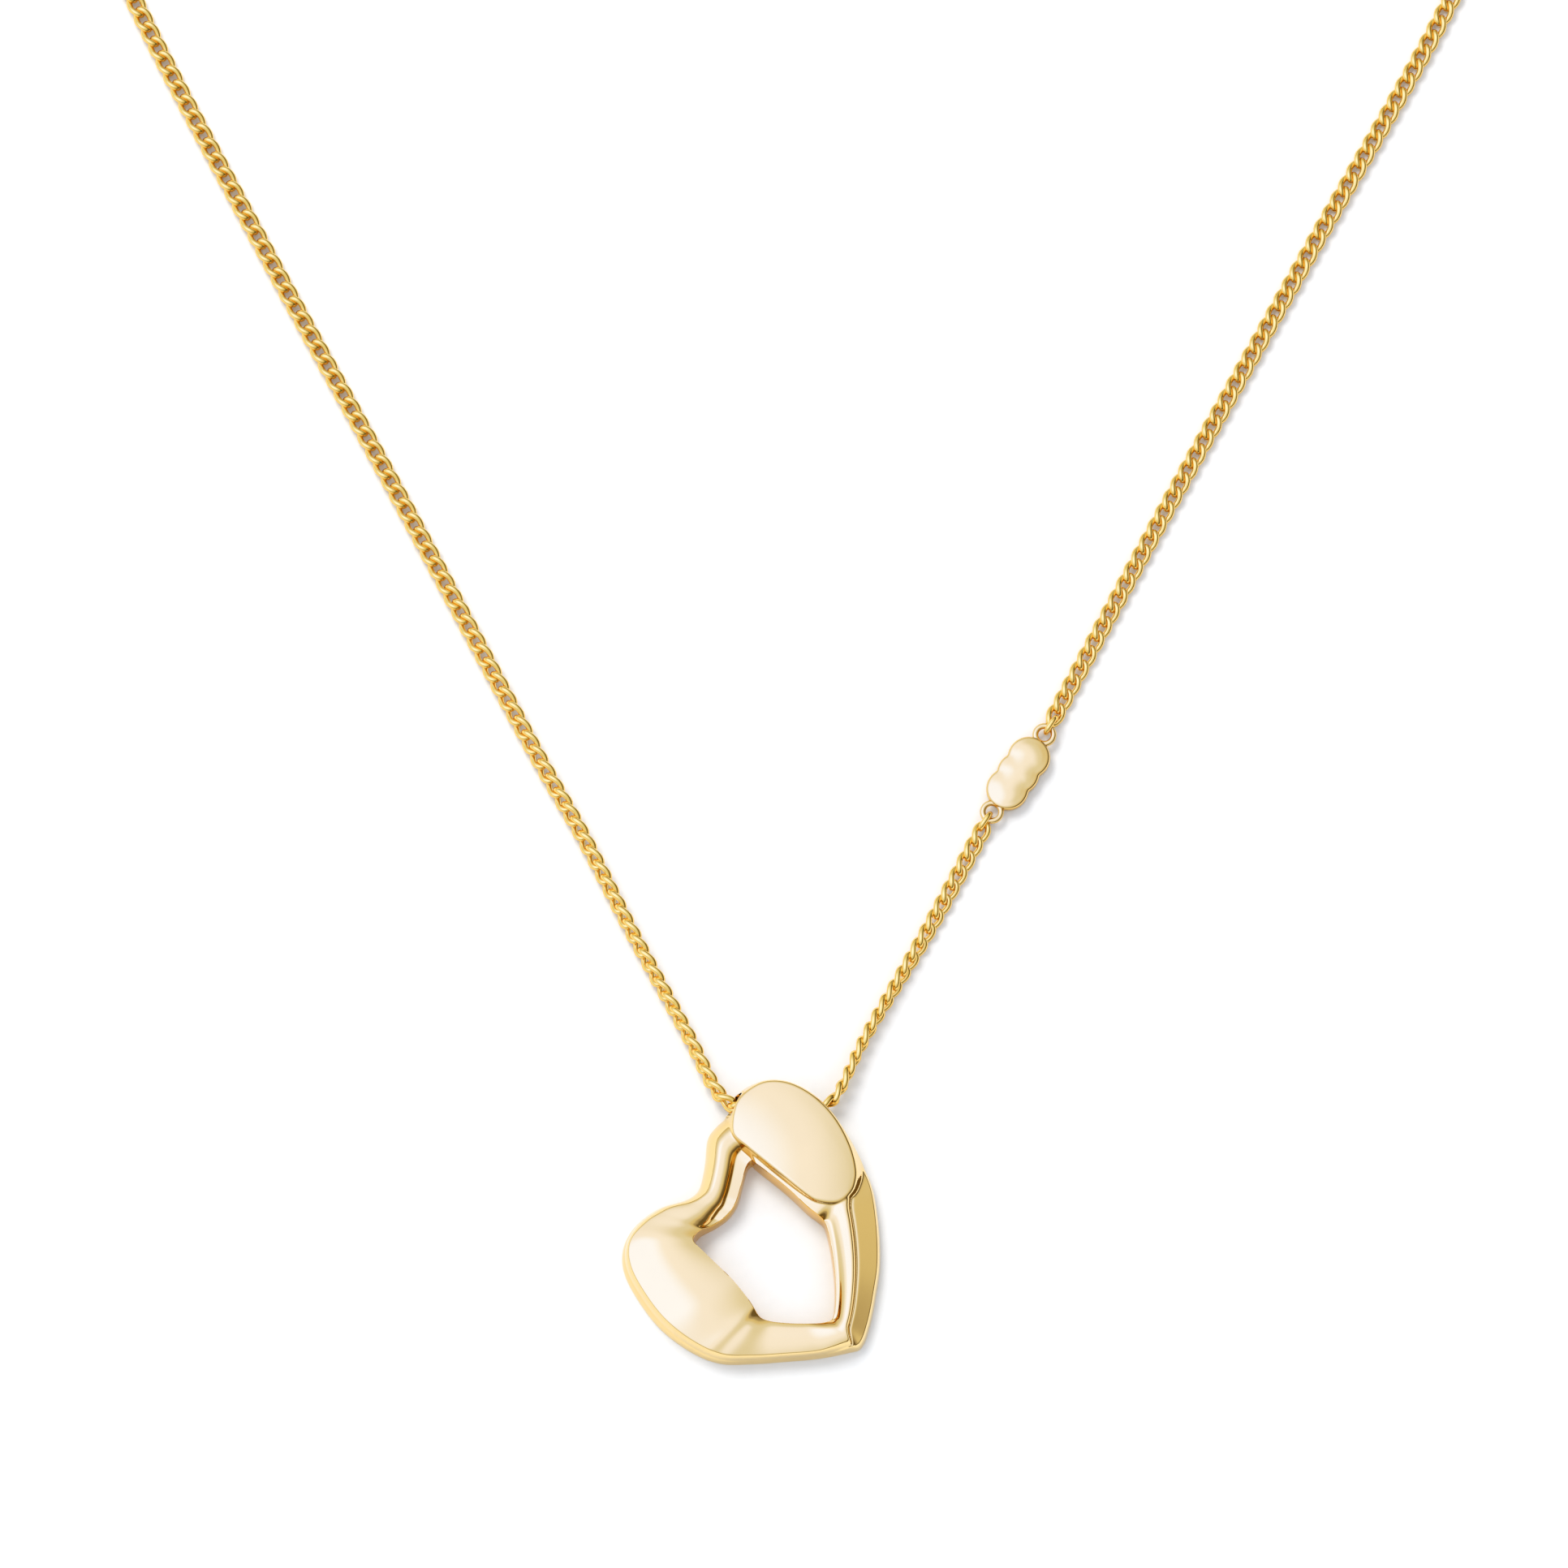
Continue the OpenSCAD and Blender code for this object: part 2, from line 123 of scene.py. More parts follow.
cameraSettings = {
    "aim": (0.6 * mm, 27.4 * mm, 0),  # middle of the view, on the table
    "tilt": math.radians(13),  # off straight down, towards the heart's tip
    "distance": 4.0,
    "width": 128.8 * mm,  # what the view takes in at the aim
}


def makeCamera():
    s = cameraSettings
    data = bpy.data.cameras.new("camera")
    data.sensor_width = 36
    data.lens = data.sensor_width * s["distance"] / s["width"]
    data.clip_start = 0.05
    data.clip_end = 10
    camera = bpy.data.objects.new("camera", data)
    scene.collection.objects.link(camera)
    back = Vector((0, -math.sin(s["tilt"]), math.cos(s["tilt"])))
    camera.location = Vector(s["aim"]) + back * s["distance"]
    camera.rotation_euler = (s["tilt"], 0, 0)
    scene.camera = camera


makeCamera()
print("camera ready")


goldSettings = {
    "plateColour": "F8DA98",  # pale 14 carat gold plate
    "wallPaintedShade": "E8B238",  # the same plate on the wall of the heart's window, with painted shade: darker and richer, standing in for the gold it reflects
    "sidePaintedShade": "E2B040",  # painted shade, the same, on the sides of the charm and the clasp
    "chainColour": "FFDC80",  # the chain's plate, a little richer
    "linkPaintedShade": "F5BE4A",  # painted shade on the links' sides
    "polishScale": 2500.0,  # polishing marks 0.4 mm apart, coarser than real so that they show
    "buffedRoughness": 0.06,
    "buffedBump": 0.04,
    "chainRoughness": 0.07,  # the links are only tumbled
    "chainBump": 0.35,
    "steepShadeFrom": (0.7, 0.25),  # the normal's z where the painted side shade starts, and is full
    "windowShadeFrom": (0.95, 0.6),  # the same for the painted shade on the wall of the heart's window
}
steelSettings = {
    "colour": "B9B7B2",
    "grainScale": 9000.0,  # brush marks 0.1 mm apart
    "roughness": (0.2, 0.35),
}


def polishedGold(name, colour, wallPaintedShade, roughness, bump, attribute=None):
    # plated brass, buffed to a mirror: soft, slightly wavy reflections, and painted shade on the
    # steep walls, a darker and richer gold standing in for the gold that they reflect
    s = goldSettings
    material = bpy.data.materials.new(name)
    material.use_nodes = True
    tree = material.node_tree
    shader = tree.nodes["Principled BSDF"]
    shader.inputs["Metallic"].default_value = 1.0
    where = addNode(tree, "ShaderNodeTexCoord")
    waves = addNode(tree, "ShaderNodeTexNoise",
                    inputs={"Scale": s["polishScale"] / 10, "Detail": 2.0},
                    links={"Vector": (where, "Object")})
    marks = addNode(tree, "ShaderNodeTexNoise", inputs={"Scale": s["polishScale"], "Detail": 3.0},
                    links={"Vector": (where, "Object")})
    tone = addNode(tree, "ShaderNodeMix", {"data_type": "RGBA"},
                   links={"Factor": (waves, "Fac")})
    base = linearColour(colour)
    tone.inputs["A"].default_value = tuple(0.96 * c for c in base[:3]) + (1.0,)
    tone.inputs["B"].default_value = tuple(min(1.0, 1.03 * c) for c in base[:3]) + (1.0,)
    facing = addNode(tree, "ShaderNodeSeparateXYZ", links={"Vector": (where, "Normal")})
    # a face that lies flat isn't steep, whichever way up it is
    level = addNode(tree, "ShaderNodeMath", {"operation": "ABSOLUTE"}, links={0: (facing, "Z")})
    start, full = s["windowShadeFrom"] if attribute else s["steepShadeFrom"]
    steep = addNode(tree, "ShaderNodeMapRange", {"interpolation_type": "SMOOTHSTEP"},
                    inputs={"From Min": start, "From Max": full}, links={"Value": (level, "Value")})
    share = (steep, "Result")
    if attribute:
        # the heart says where its window's wall is, which is where the painted shade goes
        windowShadeMark = addNode(tree, "ShaderNodeAttribute", {"attribute_name": attribute})
        near = addNode(tree, "ShaderNodeMath", {"operation": "MULTIPLY"},
                       links={0: (steep, "Result"), 1: (windowShadeMark, "Fac")})
        share = (near, "Value")
    # painted shade: steep faces take the darker wall colour in place of the plate's own
    plate = addNode(tree, "ShaderNodeMix", {"data_type": "RGBA"},
                    links={"Factor": share, "A": (tone, "Result")})
    plate.inputs["B"].default_value = linearColour(wallPaintedShade)
    tree.links.new(plate.outputs["Result"], shader.inputs["Base Color"])
    rough = addNode(tree, "ShaderNodeMapRange",
                    inputs={"To Min": roughness * 0.8, "To Max": roughness * 1.25},
                    links={"Value": (marks, "Fac")})
    tree.links.new(rough.outputs["Result"], shader.inputs["Roughness"])
    relief = addNode(tree, "ShaderNodeBump", inputs={"Strength": bump, "Distance": 0.02 * mm},
                     links={"Height": (marks, "Fac")})
    tree.links.new(relief.outputs["Normal"], shader.inputs["Normal"])
    return material


def springSteel():
    # drawn spring wire: grey, with a fine brushed grain
    s = steelSettings
    material = bpy.data.materials.new("springSteel")
    material.use_nodes = True
    tree = material.node_tree
    shader = tree.nodes["Principled BSDF"]
    shader.inputs["Metallic"].default_value = 1.0
    shader.inputs["Base Color"].default_value = linearColour(s["colour"])
    where = addNode(tree, "ShaderNodeTexCoord")
    grain = addNode(tree, "ShaderNodeTexNoise", inputs={"Scale": s["grainScale"], "Detail": 2.0},
                    links={"Vector": (where, "Object")})
    rough = addNode(tree, "ShaderNodeMapRange",
                    inputs={"To Min": s["roughness"][0], "To Max": s["roughness"][1]},
                    links={"Value": (grain, "Fac")})
    tree.links.new(rough.outputs["Result"], shader.inputs["Roughness"])
    return material


gold = goldSettings
heartGold = polishedGold("buffedPaleGold", gold["plateColour"], gold["wallPaintedShade"],
                         gold["buffedRoughness"], gold["buffedBump"], "windowPaintedShade")
plateGold = polishedGold("polishedPaleGold", gold["plateColour"], gold["sidePaintedShade"],
                         gold["buffedRoughness"], gold["buffedBump"])
chainGold = polishedGold("platedChainGold", gold["chainColour"], gold["linkPaintedShade"],
                         gold["chainRoughness"], gold["chainBump"])
steel = springSteel()
print("materials ready")


chainSettings = {
    "pitch": 1.38 * mm,
    "wire": 0.6 * mm,
    "length": 1.96 * mm,  # centre line of a link, end to end
    "width": 1.2 * mm,  # centre line of a link, side to side
    "twist": math.radians(-50),  # how far each end of a link is turned out of flat
    "cut": 0.6 * mm,  # half the thickness left when the faces are filed flat
    "around": 12,  # faces along a link's wire
    "section": 6,  # and round it
    "drawnIn": 0.87,  # how much subdivision thins the wire
    "steps": 6,  # steps along the route to each link
    "flatHeight": 0.52 * mm,  # height of the chain's middle where it lies flat
    "edgeHeight": 0.84 * mm,  # and where it stands on edge
    # how each stretch is turned out of flat, in degrees, and where, in mm of y
    "leftRoll": (68, 62, 58),  # degrees by the heart; flat above this y; spread over this far
    "rightRoll": (95, 60, 22),  # degrees at the bail; degrees lost going up; over this far
    "upperRoll": (25, 33, 40),  # degrees by the charm; kept up to this y; lost over this far
    "bandWidth": 1.7 * mm,  # the chain's flat width
}

claspZ = 1.55
chainZ = 0.85
bailZ = 1.5
extenderZ = 1.15
# from the clasp down the left strand, through the bail and up to the charm
routeLong = [
    (-28.5, 174.6, claspZ), (-31.6, 173.4, 1.2), (-36.2, 169.6, chainZ),
    (-45.4, 159.7, chainZ), (-56, 141.4, chainZ), (-59.7, 120.5, chainZ),
    (-57.3, 104.7, chainZ), (-52.4, 92.4, chainZ), (-41.9, 71.9, chainZ),
    (-31.1, 51.6, chainZ), (-20.4, 31, chainZ), (-15.9, 22.8, chainZ),
    (-11.8, 14.6, chainZ), (-7.4, 6.3, 0.9), (-5.6, 2.5, 1.2), (-4.6, 0.9, 1.4),
    (-3.3, 0, bailZ), (0, 0, bailZ), (3.5, 0, bailZ), (4.8, 0.9, 1.4),
    (5.7, 2.5, 1.2), (7.5, 6.3, 0.9), (12.25, 14.6, chainZ), (16.8, 23.2, chainZ),
]
# from the charm up the right strand to the extender
routeShort = [
    (22.85, 33, chainZ), (32.65, 51.6, chainZ), (43.7, 71.9, chainZ), (54.95, 92.4, chainZ),
    (59.9, 104.7, chainZ), (62.3, 120.5, chainZ), (58.6, 141.4, chainZ),
    (48, 159.7, chainZ), (39, 168.5, chainZ), (34, 172, 1), (31, 173.4, extenderZ),
]


def walkRoute(route, step):
    # points a fixed step apart along the route's curve
    points = [Vector(p) * mm for p in route]
    fine = [onRoute(points, k / 40) for k in range(40 * (len(points) - 1) + 1)]
    out = [fine[0]]
    left = step
    for a, b in zip(fine, fine[1:]):
        gap = (b - a).length
        while left <= gap:
            a = a + (b - a) * (left / gap)
            out.append(a)
            gap = (b - a).length
            left = step
        left -= gap
    return out


def linkShape():
    # an oval ring of wire, its ends twisted out of flat and its faces filed
    s = chainSettings
    bm = bmesh.new()
    # the cage is a little fatter than the wire, because subdivision draws it in
    made = bmesh.ops.create_circle(bm, segments=s["section"],
                                   radius=s["wire"] / 2 / s["drawnIn"])
    bmesh.ops.rotate(bm, verts=made["verts"], cent=(0, 0, 0),
                     matrix=Matrix.Rotation(math.radians(90), 3, "Y"))
    bmesh.ops.translate(bm, verts=made["verts"], vec=(0, s["width"] / 2, 0))
    bmesh.ops.spin(bm, geom=bm.edges[:], cent=(0, 0, 0), axis=(0, 0, 1), angle=math.radians(360),
                   steps=s["around"], use_merge=True)
    stretch = (s["length"] - s["width"]) / 2
    for v in bm.verts:
        v.co.x += stretch * math.cos(math.atan2(v.co.y, v.co.x))
        turn = s["twist"] * v.co.x / (s["length"] / 2)
        v.co = Matrix.Rotation(turn, 3, "X") @ v.co
        v.co.z = max(-s["cut"], min(s["cut"], v.co.z))
    return bm


def rollLong(here):
    # flat at the top of the strand, then turning towards its edge by the heart
    y = here.y / mm
    if here.x < 0:
        most, top, spread = chainSettings["leftRoll"]
        return math.radians(most) * smoothStep((top - y) / spread)
    most, undone, spread = chainSettings["rightRoll"]
    return math.radians(most) - math.radians(undone) * smoothStep(y / spread)


def rollShort(here):
    most, low, spread = chainSettings["upperRoll"]
    return math.radians(most) * (1 - smoothStep((here.y / mm - low) / spread))


def heightAt(here, roll):
    # the chain's middle is higher where it stands on edge, and where the route climbs
    s = chainSettings
    rise = max(0.0, here.z - chainZ * mm)
    return s["flatHeight"] + (s["edgeHeight"] - s["flatHeight"]) * abs(math.sin(roll)) + rise


def makeChain(name, route, rollAt):
    # one mesh of links along the route, each turned about it as rollAt says for its place
    s = chainSettings
    steps = s["steps"]
    line = walkRoute(route, s["pitch"] / steps)
    last = len(line) - 1
    template = linkShape()
    shape = bpy.data.meshes.new(name + "Link")
    template.to_mesh(shape)
    template.free()
    whole = bmesh.new()
    path = []
    for at in range(0, last + 1, steps):
        here = line[at]
        along = (line[min(at + steps // 2, last)] - line[max(at - steps // 2, 0)]).normalized()
        side = Vector((0, 0, 1)).cross(along).normalized()
        up = along.cross(side)
        roll = rollAt(here)
        middle = Vector((here.x, here.y, heightAt(here, roll)))
        turn = Matrix((along, side, up)).transposed() @ Matrix.Rotation(roll, 3, "X")
        before = len(whole.verts)
        whole.from_mesh(shape)
        whole.verts.ensure_lookup_table()
        bmesh.ops.transform(whole, verts=whole.verts[before:],
                            matrix=Matrix.Translation(middle) @ turn.to_4x4())
        path.append(middle)
    bpy.data.meshes.remove(shape)
    piece = meshPiece(name, whole, None)
    giveMaterial(piece, chainGold)
    rounding = piece.modifiers.new("rounding", "SUBSURF")
    rounding.levels = 1
    rounding.render_levels = 1
    print(name, len(path), "links", round(len(path) * s["pitch"] / mm), "mm")
    return piece, path


chainLong, pathLong = makeChain("chainThroughBail", routeLong, rollLong)
chainShort, pathShort = makeChain("chainAboveCharm", routeShort, rollShort)

# the chains are baked where they stand, and the chain nodes they replace are hidden
for piece, path, nodes in (
    (chainLong, pathLong, ("chain_front_left", "chain_back_left")),
    (chainShort, pathShort, ("chain_front_right", "chain_back_right")),
):
    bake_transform(piece)
    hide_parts(*nodes)
print("chains ready")


heartSettings = {
    "padHeight": 3.3,  # lengths in mm
    "padEdge": 0.3,
    "padBow": 0.016,  # how fast the pad falls away from its middle
    "padMiddle": (1.8, -3.3),
    "padSlope": 3,  # of the pad's side
    "draft": 0.2,  # how far the window's wall leans out on its way up
    "footRise": 0.05,  # the larger this is, the taller the upright part of that wall
    "ledgeEdge": 0.3,
    "crease": 0.08,  # how far two surfaces blend where they meet
    "padCrease": 0.13,
    "ridgePower": 3.0,  # the larger these are, the squarer the shoulder
    "fallPower": 2.0,
    "draftPower": 1.4,
    "rim": 1.001,  # just past the outline, so that the ledge ends with a little height
    "rimFall": 0.3,  # how much lower the ledge is at the outline, as a share
    "windowShadeReach": (0.07, 1.1),  # share of the top that gets the painted wall shade; how much more per ledge
    "rimPasses": 8,
    "sectionPasses": 12,
    "padPasses": 3,
    "stations": 640,  # around the heart
    "lanes": 92,  # across the top, from the window to the outline
    "boreRadius": 1.05,
    "boreLength": 18,
    "sharp": math.radians(60),
}
# stations clockwise from the cleft: outline x, y, then the window's edge x, y
heartRim = [
    (-6.3, -6.6, -3.1, -7.9), (-5.9, -4.7, -2.7, -6.4), (-5.7, -2.7, -2.4, -5.3),
    (-5.1, -1.7, -2.2, -4.95), (-4.0, -0.6, -2.0, -4.85), (-3.7, 0.6, -1.75, -5.1),
    (-2.4, 1.6, -1.15, -5.6), (-0.3, 2.0, -0.55, -6.08), (1.9, 1.4, 0.35, -6.82),
    (3.9, -0.1, 1.4, -7.76), (5.5, -2.2, 2.5, -8.85), (6.9, -4.5, 3.35, -9.5),
    (7.9, -6.8, 3.85, -10.0), (8.4, -10.0, 4.2, -11.2), (8.5, -13.1, 4.5, -12.9),
    (8.2, -15.5, 4.7, -14.9), (7.7, -18.1, 4.7, -16.7), (7.0, -20.0, 4.5, -17.8),
    (5.9, -20.45, 3.8, -18.2), (3.4, -20.95, 2.2, -18.3), (0.7, -21.2, 0.3, -18.2),
    (-2.1, -21.4, -0.8, -18.0), (-4.7, -21.35, -1.4, -17.6), (-7.1, -20.35, -2.2, -16.4),
    (-9.5, -18.5, -3.5, -14.8), (-11.3, -16.15, -4.8, -13.5), (-12.5, -13.8, -5.9, -12.4),
    (-12.6, -11.8, -6.7, -11.5), (-11.7, -10.0, -6.2, -10.7), (-9.8, -8.5, -5.1, -10.1),
    (-7.9, -7.9, -4.1, -9.4), (-6.9, -7.4, -3.5, -8.7),
]
# station, height at the window, ledge inside the ridge, crest's place, crest height, fall
# towards the outside, share of that fall which is rounded over, ridge's outer foot, ledge outside
heartSections = [
    (0, 1.8, 0.25, 0.6, 2.5, 0.4, 0.9, 1.0, 1.0),
    (4, 1.9, 0.25, 0.58, 2.5, 0.4, 0.9, 1.0, 1.0),
    (5.3, 2.5, 0, 0.5, 2.6, 0.3, 0.3, 1.0, 1.2),
    (10.8, 2.5, 0, 0.5, 2.6, 0.3, 0.3, 0.9, 1.4),
    (12.3, 1.4, 0, 0.72, 2.6, 0.2, 0.9, 0.57, 2.0),
    (16.7, 1.3, 0, 0.72, 2.5, 0.2, 0.9, 0.57, 1.9),
    (17.8, 1.8, 0, 0.4, 2.4, 0.4, 0.3, 0.95, 1.4),
    (19, 2.0, 0, 0.25, 2.2, 0.4, 0.12, 0.97, 1.0),
    (20.5, 2.0, 0, 0.25, 2.2, 0.4, 0.12, 0.97, 1.0),
    (22.1, 1.9, 0, 0.32, 2.45, 0.5, 0.12, 0.97, 1.0),
    (22.5, 2.45, 0, 0.36, 2.6, 0.5, 0.11, 0.97, 1.0),
    (24, 2.75, 0, 0.45, 2.9, 0.65, 0.1, 0.97, 1.0),
    (27, 2.6, 0, 0.45, 2.85, 0.65, 0.12, 0.97, 1.0),
    (28.3, 2.2, 0, 0.46, 2.65, 0.5, 0.3, 0.98, 1.0),
    (28.7, 1.5, 0.06, 0.5, 2.6, 0.45, 0.4, 0.98, 1.0),
    (30.5, 1.6, 0.2, 0.6, 2.5, 0.4, 0.8, 1.0, 1.0),
    (32, 1.8, 0.25, 0.6, 2.5, 0.4, 0.9, 1.0, 1.0),
]
padOutline = [
    (-3.72, -2.3), (-3.72, -1.5), (-3.6, -0.7), (-3.2, 0.35), (-2.2, 1.3), (-0.87, 1.9),
    (0.84, 1.8), (2.54, 1.0), (4.07, -0.3), (5.27, -1.9), (6.2, -3.85), (6.62, -5.6),
    (6.55, -6.7), (6.15, -7.65), (5.1, -8.45), (3.7, -8.45), (2.54, -7.95), (-0.01, -5.9),
    (-2.5, -3.8), (-3.45, -2.95),
]


def soften(values, passes):
    # evens out a closed run of values, so that reflections flow over the stations
    for _ in range(passes):
        values = 0.25 * np.roll(values, 1, 0) + 0.5 * values + 0.25 * np.roll(values, -1, 0)
    return values


def sectionsRound(stations):
    rows = np.array(heartSections)
    out = []
    for k in range(stations):
        s = k * len(heartRim) / stations
        i = max(j for j in range(len(rows) - 1) if rows[j][0] <= s)
        u = smoothStep((s - rows[i][0]) / (rows[i + 1][0] - rows[i][0]))
        out.append(rows[i] + (rows[i + 1] - rows[i]) * u)
    return soften(np.array(out), heartSettings["sectionPasses"])


def swell(u, power):
    # a rounded shoulder from 0 up to 1
    u = np.clip(u, 0, 1)
    return (1 - (1 - u) ** power) ** (1 / power)


def smoothMax(a, b, k):
    # the higher of two surfaces, blended over k where they cross
    return (a + b + np.sqrt((a - b) ** 2 + k * k)) / 2


def padDepth(x, y):
    # distance in from the pad's edge, negative outside it
    points = [np.array(p) for p in padOutline]
    edge = np.array([onLoop(points, k / 8) for k in range(8 * len(points))])
    edge = soften(edge, heartSettings["padPasses"])
    near = np.full(x.shape, 1e9)
    inside = np.zeros(x.shape, bool)
    for a, b in zip(edge, np.roll(edge, -1, 0)):
        d = b - a
        u = np.clip(((x - a[0]) * d[0] + (y - a[1]) * d[1]) / (d @ d), 0, 1)
        near = np.minimum(near, np.hypot(x - a[0] - u * d[0], y - a[1] - u * d[1]))
        if a[1] != b[1]:
            spans = (a[1] > y) != (b[1] > y)
            inside ^= spans & (x < (b[0] - a[0]) * (y - a[1]) / (b[1] - a[1]) + a[0])
    return np.where(inside, near, -near)


def heartSurface():
    # x, y and z over the ring of cross-sections, and how much painted wall shade each point gets
    # near the window
    h = heartSettings
    n = h["stations"]
    points = [np.array(p) for p in heartRim]
    rim = np.array([onLoop(points, k * len(points) / n) for k in range(n)])
    rim = soften(rim, h["rimPasses"])
    rows = sectionsRound(n)
    t = (1 - np.cos(np.linspace(0, math.pi, h["lanes"] + 1))) / 2
    x = rim[:, 2:3] + (rim[:, 0:1] - rim[:, 2:3]) * t
    y = rim[:, 3:4] + (rim[:, 1:2] - rim[:, 3:4]) * t
    wall, inner, place, crestZ, drop, softness, foot, ledgeZ = (
        rows[:, k:k + 1] for k in range(1, 9))
    width = np.hypot(rim[:, 0:1] - rim[:, 2:3], rim[:, 1:2] - rim[:, 3:4])
    crest = place * foot
    plain = crestZ - (crestZ - wall) * (1 - np.clip(t / crest, 0, 1)) ** 2
    shoulder = swell((t - inner) / (crest - inner), h["ridgePower"])
    stepped = smoothMax(wall, crestZ * shoulder, h["crease"])
    rise = plain + (stepped - plain) * np.clip(inner / 0.12, 0, 1)
    v = np.clip((t - crest) / (foot - crest), 0, 1)
    fall = (crestZ - drop * v ** 2) * swell((1 - v) / softness, h["fallPower"])
    draft = swell((t * width + h["footRise"]) / h["draft"], h["draftPower"])
    ridge = np.where(t < crest, rise, fall) * draft
    slope = 1 - h["rimFall"] * np.clip((t - foot) / (h["rim"] - foot), 0, 1)
    edge = swell((h["rim"] - t) * width / h["ledgeEdge"], h["fallPower"])
    ledge = ledgeZ * slope * edge * draft
    z = smoothMax(ridge, ledge, h["crease"])
    depth = padDepth(x, y)
    inward = np.maximum(0, h["padEdge"] - depth)
    middle = h["padMiddle"]
    bow = h["padBow"] * ((x - middle[0]) ** 2 + (y - middle[1]) ** 2)
    top = h["padHeight"] - bow - h["padEdge"]
    pad = np.where(depth <= 0, top + h["padSlope"] * depth,
                   top + np.sqrt(np.maximum(0, h["padEdge"] ** 2 - inward ** 2)))
    plainly, ledged = h["windowShadeReach"]
    # how far the painted wall shade reaches in from the window's edge
    window = np.clip(1 - t / (plainly + ledged * inner), 0, 1) ** 0.5
    return x, y, smoothMax(z, pad, h["padCrease"]), window * np.ones_like(x)


def boreThrough(piece, radius, length):
    # the hole that the chain runs through, cut into the mesh for good
    bm = bmesh.new()
    bmesh.ops.create_cone(bm, cap_ends=True, segments=64, radius1=radius, radius2=radius,
                          depth=length)
    bmesh.ops.rotate(bm, verts=bm.verts[:], cent=(0, 0, 0),
                     matrix=Matrix.Rotation(math.radians(90), 3, "Y"))
    bmesh.ops.translate(bm, verts=bm.verts[:], vec=(0, 0, bailZ * mm))
    mesh = bpy.data.meshes.new("bore")
    bm.to_mesh(mesh)
    bm.free()
    drill = bpy.data.objects.new("bore", mesh)
    scene.collection.objects.link(drill)
    cut = piece.modifiers.new("bore", "BOOLEAN")
    cut.operation = "DIFFERENCE"
    cut.object = drill
    ready = piece.evaluated_get(bpy.context.evaluated_depsgraph_get())
    bored = bpy.data.meshes.new_from_object(ready)
    piece.modifiers.clear()
    piece.data = bored
    bored.set_sharp_from_angle(angle=heartSettings["sharp"])
    bpy.data.objects.remove(drill)
    bpy.data.meshes.remove(mesh)


def makeHeart():
    h = heartSettings
    x, y, z, window = heartSurface()
    n, lanes = h["stations"], h["lanes"]
    # columns of the grid: the top from the window to the outline, then the flat back
    columns = [(x[:, 0], y[:, 0], 0 * z[:, 0], window[:, 0])]
    columns += [(x[:, j], y[:, j], z[:, j], window[:, j]) for j in range(lanes + 1)]
    for share in (1.0, 0.75, 0.5, 0.25, 0.0):
        bx = x[:, 0] + (x[:, -1] - x[:, 0]) * share
        by = y[:, 0] + (y[:, -1] - y[:, 0]) * share
        # the back gets no painted shade, but its last column is the first one again
        columns.append((bx, by, 0 * bx, window[:, 0] * (share == 0)))
    rows = len(columns) - 1
    bm = bmesh.new()
    bmesh.ops.create_grid(bm, x_segments=n, y_segments=rows, size=1)
    # where the painted shade of the window's wall goes
    windowPaintedShade = bm.verts.layers.float.new("windowPaintedShade")
    for v in bm.verts:
        i = int(round((v.co.x + 1) / 2 * n)) % n
        j = int(round((v.co.y + 1) / 2 * rows))
        cx, cy, cz, near = columns[j]
        v.co = Vector((cx[i], cy[i], cz[i])) * mm
        v[windowPaintedShade] = near[i]
    bmesh.ops.remove_doubles(bm, verts=bm.verts[:], dist=1e-7)
    piece = meshPiece("openHeart", bm, "pendant")
    boreThrough(piece, h["boreRadius"] * mm, h["boreLength"] * mm)
    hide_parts("heart_casting")
    giveMaterial(piece, heartGold)
    print("heart ready:", len(piece.data.polygons), "faces")


makeHeart()


charmSettings = {
    "lobe": 3.5 * mm,  # diameter of each lobe
    "step": 1.6 * mm,  # from one lobe's middle to the next
    "thick": 1.2 * mm,
    "edge": 0.3 * mm,  # rounding of the face's edge
    "underEdge": 0.1 * mm,
    "crown": 0.2 * mm,  # rise of the face from its edge to its middle
    "loopRadius": 0.75 * mm,
    "loopWire": 0.5 * mm,
    "loopPlace": 3.9 * mm,  # from the charm's middle to a loop's
    "turn": math.atan2(6.5, 4.33),  # along the chain
    "segments": 144,
    "sharp": math.radians(50),
    # rings of the crowned face from its edge: width in mm, and share of the rise
    "rings": ((0.25, 0.4), (0.3, 0.3), (0.3, 0.2), (0.3, 0.1)),
}


def charmReach(angle):
    # from the charm's middle to its outline
    c = charmSettings
    reach = []
    for lobe in (-c["step"], 0, c["step"]):
        across = (c["lobe"] / 2) ** 2 - (lobe * math.sin(angle)) ** 2
        if across > 0:
            reach.append(lobe * math.cos(angle) + math.sqrt(across))
    return max(reach)


